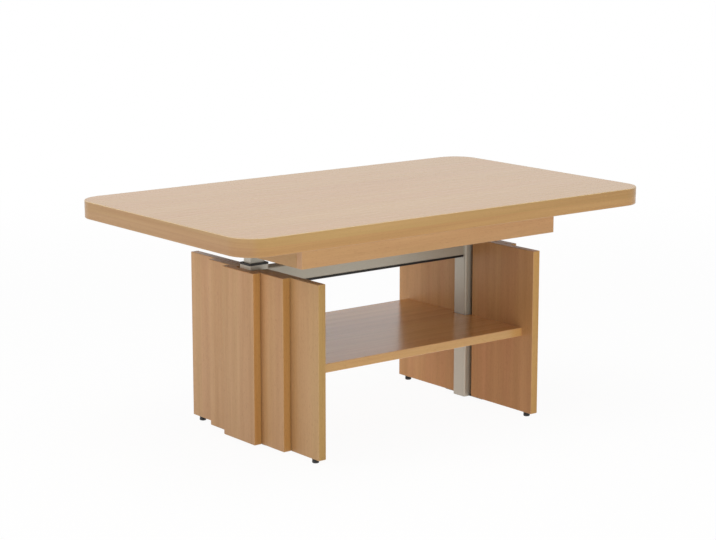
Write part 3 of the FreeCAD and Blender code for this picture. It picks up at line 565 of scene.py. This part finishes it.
# Apron: four veneered rails in a frame under the top, the long ones lapping the short ones.
# The grain runs along each rail, and the end rails are painted darker as painted shade.
APRON_LIGHT = (0.62, 0.403, 0.223)
APRON_DARK = (0.48, 0.282, 0.143)
APRON_SIDE_LIGHT = (0.99, 0.98, 0.84)
APRON_ARRIS_HIGHLIGHT = 0.15
APRON_START = Vector((0.9, 0, 0))
APRON_SHIFT = Vector((0.41, 0.31, 0.17))
# Painted shade on the end rails.
END_RAIL_PAINTED_SHADE = (0.77, 0.77, 0.61)
RAILS = {
    "apron_front": (ALONG_X, AS_IT_IS),
    "apron_back": (ALONG_X, AS_IT_IS),
    "apron_left": (ALONG_Y, END_RAIL_PAINTED_SHADE),
    "apron_right": (ALONG_Y, END_RAIL_PAINTED_SHADE),
}
for number, (name, (direction, tint)) in enumerate(RAILS.items()):
    offset = APRON_START + number * APRON_SHIFT
    light, dark = tinted(APRON_LIGHT, tint), tinted(APRON_DARK, tint)
    veneer = make_beech(f"beech_{name}", direction, offset, light, dark, arris_highlight=APRON_ARRIS_HIGHLIGHT, side_light_tint=APRON_SIDE_LIGHT)
    dress(veneer, name)

# Carrier board: bare particle board with a sanded face, screwed between the rails.
# It carries the swivel bushing and the slot for the stop peg.
CHIP_DARK = (0.36, 0.25, 0.14, 1)
CHIP_LIGHT = (0.56, 0.43, 0.27, 1)
CHIP_GAP = (0.26, 0.17, 0.09, 1)
CHIP_FLAKES = 420.0
CHIP_CRUMBS = 900.0
CHIP_GAP_SPAN = (0.55, 0.75)
CHIP_ROUGHNESS = 0.8
CHIP_DEPTH = 0.2 * MM
CHIP_STRENGTH = 0.6


def make_chipboard():
    """Uncoated particle board: pressed flakes of several tones with dark crumbs between them."""
    material, tree, shader = new_material("bare_chipboard")
    place = object_place(tree)
    crumbs = cloudy(tree, place, CHIP_CRUMBS, 3.0)
    wood = blend_colour(tree, cell_values(tree, place, CHIP_FLAKES)[0], CHIP_DARK, CHIP_LIGHT)
    wood = blend_colour(tree, spread_range(tree, crumbs, *CHIP_GAP_SPAN), wood, CHIP_GAP)
    tree.links.new(wood, shader.inputs["Base Color"])
    shader.inputs["Roughness"].default_value = CHIP_ROUGHNESS
    add_bump(tree, shader, crumbs, CHIP_DEPTH, CHIP_STRENGTH)
    return material


dress(make_chipboard(), "carrier_board")

# Slide pads: short strips of pressed felt on which the top turns and the open leaf rests.
# They are glued on the upper edges of the apron.
FELT_DARK = (0.13, 0.115, 0.1, 1)
FELT_LIGHT = (0.3, 0.27, 0.24, 1)
FELT_FIBRES = 1400.0
FELT_TANGLE = 1.5
FELT_ROUGHNESS = 0.95
FELT_DEPTH = 0.2 * MM
FELT_STRENGTH = 0.8


def make_felt():
    """Pressed felt: matted fibres with a soft nap."""
    material, tree, shader = new_material("pressed_felt")
    fibres = cloudy(tree, object_place(tree), FELT_FIBRES, 4.0, FELT_TANGLE)
    tree.links.new(blend_colour(tree, fibres, FELT_DARK, FELT_LIGHT), shader.inputs["Base Color"])
    shader.inputs["Roughness"].default_value = FELT_ROUGHNESS
    add_bump(tree, shader, fibres, FELT_DEPTH, FELT_STRENGTH)
    return material


dress(make_felt(), "slide_pads")

# Top leaves: two veneered boards with a satin lacquer, grain along the length.
# A wrapped beech edging runs round each leaf, so its grain follows the edge.
# The edging carries a painted highlight along the top's upper edge alone.
TOP_LIGHT = (0.66, 0.412, 0.185)
TOP_DARK = (0.535, 0.299, 0.114)
TOP_SHIFTS = {"upper": (0.2, 0.9, 0.5), "lower": (1.3, 0.1, 0.8)}
for leaf, offset in TOP_SHIFTS.items():
    veneer = make_beech(f"beech_{leaf}_leaf", ALONG_X, offset, TOP_LIGHT, TOP_DARK, contrast=0.5, flecks=0.15,
                        gloss=0.2, shine=0.5, relief=0.1)
    dress(veneer, f"{leaf}_leaf_board")

# Painted highlight along the top's upper edge.
HIGHLIGHT_HEIGHT_SPAN = (505 * MM, 513 * MM)
HIGHLIGHT_SHARE = (0.1, 0.9)
UPRIGHT = (0, 0, 1)
EDGINGS = {
    "upper": ((2.3, 0.75, 0.1), (0.543, 0.347, 0.164), (0.417, 0.24, 0.098), (0.99, 0.985, 0.81)),
    "lower": ((1.7, 0.6, 0.4), (0.53, 0.327, 0.158), (0.4, 0.223, 0.095), (1.08, 1.06, 0.88)),
}


def make_edging(name, offset, light, dark, side_light_tint):
    """Beech edging whose grain runs round the leaf, with a painted highlight along the top's upper edge."""
    material = make_beech(name, ROUND_EDGE, offset, light, dark, gloss=0.24, side_light_tint=side_light_tint)
    tree = material.node_tree
    height = add_node(tree, "ShaderNodeSeparateXYZ", {0: object_place(tree)}).outputs[2]
    arris = tree.nodes["arris"]
    arris.inputs["Slant"].default_value = UPRIGHT
    tree.links.new(spread_range(tree, height, *HIGHLIGHT_HEIGHT_SPAN, *HIGHLIGHT_SHARE), arris.inputs["Amount"])
    return material


for leaf, (offset, light, dark, side_light_tint) in EDGINGS.items():
    dress(make_edging(f"edging_{leaf}_leaf", offset, light, dark, side_light_tint), f"{leaf}_leaf_edging")

# Small steel pieces: hinges, pins, pivot, nuts, release shaft and fingers, zinc plated.
# Zinc is dull with pale cloudy crystals.
ZINC_DARK = (0.5, 0.51, 0.52, 1)
ZINC_LIGHT = (0.63, 0.64, 0.66, 1)
ZINC_CLOUD = (0.45, 0.45, 0.45, 1)
ZINC_CRYSTALS = 500.0
ZINC_CLOUDS = 180.0
ZINC_CLOUD_SHARE = 0.5
ZINC_ROUGHNESS = (0.26, 0.42)
ZINC_METALLIC = 0.95


def make_zinc():
    """Bright zinc plating with cloudy crystals."""
    material, tree, shader = new_material("zinc_plate")
    place = object_place(tree)
    cloud = cloudy(tree, place, ZINC_CLOUDS, 3.0)
    tone = blend_colour(tree, cell_values(tree, place, ZINC_CRYSTALS)[0], ZINC_DARK, ZINC_LIGHT)
    tone = blend_colour(tree, math_node(tree, "MULTIPLY", cloud, ZINC_CLOUD_SHARE), tone, ZINC_CLOUD)
    tree.links.new(tone, shader.inputs["Base Color"])
    tree.links.new(spread_range(tree, cloud, *NOISE_SPAN, *ZINC_ROUGHNESS), shader.inputs["Roughness"])
    shader.inputs["Metallic"].default_value = ZINC_METALLIC
    return material


zinc = make_zinc()
dress(zinc, "hinge_pins", "lower_hinge_plates", "upper_hinge_plates", "pivot_flange", "pivot_nut",
      "release_shaft", "release_fingers", "rod_nuts", "shelf_pins", "stop_peg", "valve_pins")

# Screws: zinc-plated wood screws with a cross recess, driven home.
# Flat heads lie flush in the hinge plates.
# Pan heads hold the cross arms to the carrier board and the lugs to the boards.
RECESS_ANGLES = (0, 14, 29, 45, 61, 76)
RECESS_DIRECTIONS = [math.radians(90 * quarter + part) for quarter in range(4) for part in RECESS_ANGLES]
PAN_RECESS = (1.9 * MM, 0.47 * MM)
FLAT_RECESS = (1.6 * MM, 0.4 * MM)
PAN_HEAD = [(0, -0.4), (3.5, -0.4), (3.5, 0.9), (3.1, 1.7), (2.3, 2.2),
            ("recess", 2.2), ("recess", 0.9), (0, 0.9)]
FLAT_HEAD = [(0, -0.4), (2.7, -0.4), (2.7, 0.05), (2.55, 0.1),
             ("recess", 0.1), ("recess", 0.01), (0, 0.01)]


def recess_radius(angle, reach, slot):
    """How far a cross recess goes in a direction."""
    across, along = max(abs(math.cos(angle)), 1e-6), max(abs(math.sin(angle)), 1e-6)
    return max(min(reach / across, slot / along), min(slot / across, reach / along))


def add_turned(form, profile, directions, place, recess=None):
    """A turned form from radii and heights in millimetres, with an optional cross recess."""
    rings = []
    for radius, height in profile:
        if radius == 0:
            rings.append([form.verts.new(place @ Vector((0, 0, height * MM)))])
            continue
        ring = []
        for angle in directions:
            span = recess_radius(angle, *recess) if radius == "recess" else radius * MM
            point = Vector((span * math.cos(angle), span * math.sin(angle), height * MM))
            ring.append(form.verts.new(place @ point))
        rings.append(ring)
    join_rings(form, rings)


def add_screws(name, places, turn, head, recess, body):
    """A piece of like screws, turned to face one way."""
    form = bmesh.new()
    for place in places:
        add_turned(form, head, RECESS_DIRECTIONS, Matrix.Translation(place) @ turn, recess)
    add_piece(name, form, zinc, body)


FACING_BACK = Matrix.Rotation(math.radians(-90), 4, "X")
FACING_DOWN = Matrix.Rotation(math.radians(180), 4, "X")
HINGE_PLACES = (-380 * MM, 380 * MM)
HINGE_SCREWS = (-24 * MM, 0, 24 * MM)
HINGE_FACE = 322.3 * MM
HINGE_LEVELS = {"lower": 487 * MM, "upper": 505 * MM}
for leaf, level in HINGE_LEVELS.items():
    places = [(hinge + offset, HINGE_FACE, level) for hinge in HINGE_PLACES for offset in HINGE_SCREWS]
    add_screws(f"{leaf}_hinge_screws", places, FACING_BACK, FLAT_HEAD, FLAT_RECESS, f"{leaf}_leaf")

ARM_CENTRE = 274.5 * MM
ARM_BOTTOM = 454 * MM
ARM_SCREWS = (-170 * MM, -110 * MM, -50 * MM, 50 * MM, 110 * MM, 170 * MM)
places = [(side * ARM_CENTRE, reach, ARM_BOTTOM) for side in (-1, 1) for reach in ARM_SCREWS]
add_screws("cross_arm_screws", places, FACING_DOWN, PAN_HEAD, PAN_RECESS, "lift_frame")

LUG_CENTRE = 308 * MM
LUG_SCREWS = (-54 * MM, -32 * MM, 32 * MM, 54 * MM)
lug_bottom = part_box("foot_lugs")[0][2]
places = [(end * LUG_CENTRE, reach, lug_bottom) for end in (-1, 1) for reach in LUG_SCREWS]
add_screws("lug_screws", places, FACING_DOWN, PAN_HEAD, PAN_RECESS, "base")

# Floor glides: round black plastic feet nailed under the outer corners of the cheek panels.
# Each has a domed foot, a groove and a washer.
GLIDE_PLACES = [(x * MM, y * MM, 0) for x in (-298.5, 298.5) for y in (-211, 211)]
GLIDE_PROFILE = [(0, 0), (5.4, 0), (6.6, 0.4), (7.3, 1.2), (7.5, 2.2), (7.5, 5.2), (7.2, 5.7), (6.3, 5.9),
                 (6.3, 6.9), (7.1, 7.1), (7.5, 7.6), (7.5, 9.6), (7.1, 10), (0, 10)]
GLIDE_SIDES = 32
glide_form = bmesh.new()
glide_directions = [math.tau * side / GLIDE_SIDES for side in range(GLIDE_SIDES)]
for place in GLIDE_PLACES:
    add_turned(glide_form, GLIDE_PROFILE, glide_directions, Matrix.Translation(place))
glides = add_piece("turned_glides", glide_form, black_plastic, "base")
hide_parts("floor_glides")

# Floor: a plain white studio floor that runs out of sight and keeps a light shadow.
# It is one flat face, shown nearly white to the camera and fading to white far off.
FLOOR_HALF = 30.0
FLOOR_SHADE = 0.93
FLOOR_NEAR = 1.2
FLOOR_FAR = 3.5
FLOOR_BOUNCE = 0.22
FLOOR_COLOUR = (0.9, 0.9, 0.9, 1)
FLOOR_ROUGHNESS = 0.9
WHITE = (1, 1, 1, 1)

floor_mesh = bpy.data.meshes.new("floor")
floor_mesh.from_pydata([(-FLOOR_HALF, -FLOOR_HALF, 0), (FLOOR_HALF, -FLOOR_HALF, 0),
                        (FLOOR_HALF, FLOOR_HALF, 0), (-FLOOR_HALF, FLOOR_HALF, 0)], [], [(0, 1, 2, 3)])
floor = bpy.data.objects.new("floor", floor_mesh)
bpy.context.scene.collection.objects.link(floor)


def seen_directly(tree, share):
    """A factor for rays that come straight, mirrored or through glass from the camera."""
    path = add_node(tree, "ShaderNodeLightPath")
    seen = math_node(tree, "MAXIMUM", path.outputs["Is Camera Ray"], path.outputs["Is Glossy Ray"])
    seen = math_node(tree, "MAXIMUM", seen, path.outputs["Is Transmission Ray"])
    return math_node(tree, "MULTIPLY", seen, share)


floor_material, floor_tree, floor_shader = new_material("studio_floor")
floor_shader.inputs["Base Color"].default_value = FLOOR_COLOUR
floor_shader.inputs["Roughness"].default_value = FLOOR_ROUGHNESS
floor_shader.inputs["Emission Color"].default_value = WHITE
floor_shader.inputs["Emission Strength"].default_value = FLOOR_BOUNCE
floor_shader.inputs["Specular IOR Level"].default_value = 0.0
floor_reach = add_node(floor_tree, "ShaderNodeVectorMath", {0: object_place(floor_tree)}, operation="LENGTH")
floor_white = spread_range(floor_tree, floor_reach.outputs["Value"], FLOOR_NEAR, FLOOR_FAR, FLOOR_SHADE, 1.0)
floor_glow = add_node(floor_tree, "ShaderNodeEmission", {"Color": WHITE, "Strength": 1.0})
floor_mix = add_node(floor_tree, "ShaderNodeMixShader", {
    0: seen_directly(floor_tree, floor_white), 1: floor_shader.outputs[0], 2: floor_glow.outputs[0]})
floor_tree.links.new(floor_mix.outputs[0], floor_tree.nodes["Material Output"].inputs["Surface"])
floor_mesh.materials.append(floor_material)

# Light: an even white room with large soft lights at the front, on the left and overhead.
# The room is white to the camera, and dimmer where it lights the table.
ROOM_LEVEL = 0.30
LIGHT_AIM = (0, 0, 0.3)
world = bpy.data.worlds.new("studio")
bpy.context.scene.world = world
world.use_nodes = True
room = world.node_tree
room_light = room.nodes["Background"]
room_light.inputs["Color"].default_value = WHITE
room_light.inputs["Strength"].default_value = ROOM_LEVEL
room_white = add_node(room, "ShaderNodeBackground", {"Color": WHITE, "Strength": 1.0})
room_mix = add_node(room, "ShaderNodeMixShader", {
    0: seen_directly(room, 1.0), 1: room_light.outputs[0], 2: room_white.outputs[0]})
room.links.new(room_mix.outputs[0], room.nodes["World Output"].inputs["Surface"])


def add_softbox(name, place, width, height, power, colour):
    """A broad soft light that faces the table and isn't mirrored in its lacquer."""
    data = bpy.data.lights.new(name, "AREA")
    data.shape = "RECTANGLE"
    data.size = width
    data.size_y = height
    data.energy = power
    data.color = colour
    lamp = bpy.data.objects.new(name, data)
    lamp.visible_glossy = False
    lamp.location = place
    lamp.rotation_euler = (Vector(LIGHT_AIM) - Vector(place)).to_track_quat("-Z", "Y").to_euler()
    bpy.context.scene.collection.objects.link(lamp)


add_softbox("front_softbox", place=(-0.6, -4.2, 0.85), width=3.4, height=1.6, power=60.0,
            colour=(1.0, 0.98, 0.94))
add_softbox("left_softbox", place=(-4.0, 1.5, 1.2), width=3.0, height=2.2, power=58.0,
            colour=(0.97, 0.96, 1.0))
add_softbox("top_softbox", place=(-0.3, -0.3, 3.4), width=2.6, height=2.6, power=45.0,
            colour=(1.0, 0.98, 0.95))

# Camera: where the photograph was taken from, with the photograph's angle of view.
# It looks from the front left, a little down on the table.
CAMERA_PLACE = (-2.7120, -3.4409, 1.2124)
CAMERA_PITCH = math.radians(90 - 11.26)
CAMERA_YAW = math.radians(-38.024)
SENSOR_WIDTH = 36.0
LENS = 101.0
camera_data = bpy.data.cameras.new("camera")
camera_data.sensor_fit = "HORIZONTAL"
camera_data.sensor_width = SENSOR_WIDTH
camera_data.lens = LENS
camera = bpy.data.objects.new("camera", camera_data)
camera.location = CAMERA_PLACE
camera.rotation_euler = (CAMERA_PITCH, 0, CAMERA_YAW)
bpy.context.scene.collection.objects.link(camera)
bpy.context.scene.camera = camera
bpy.context.scene.view_settings.view_transform = "Standard"
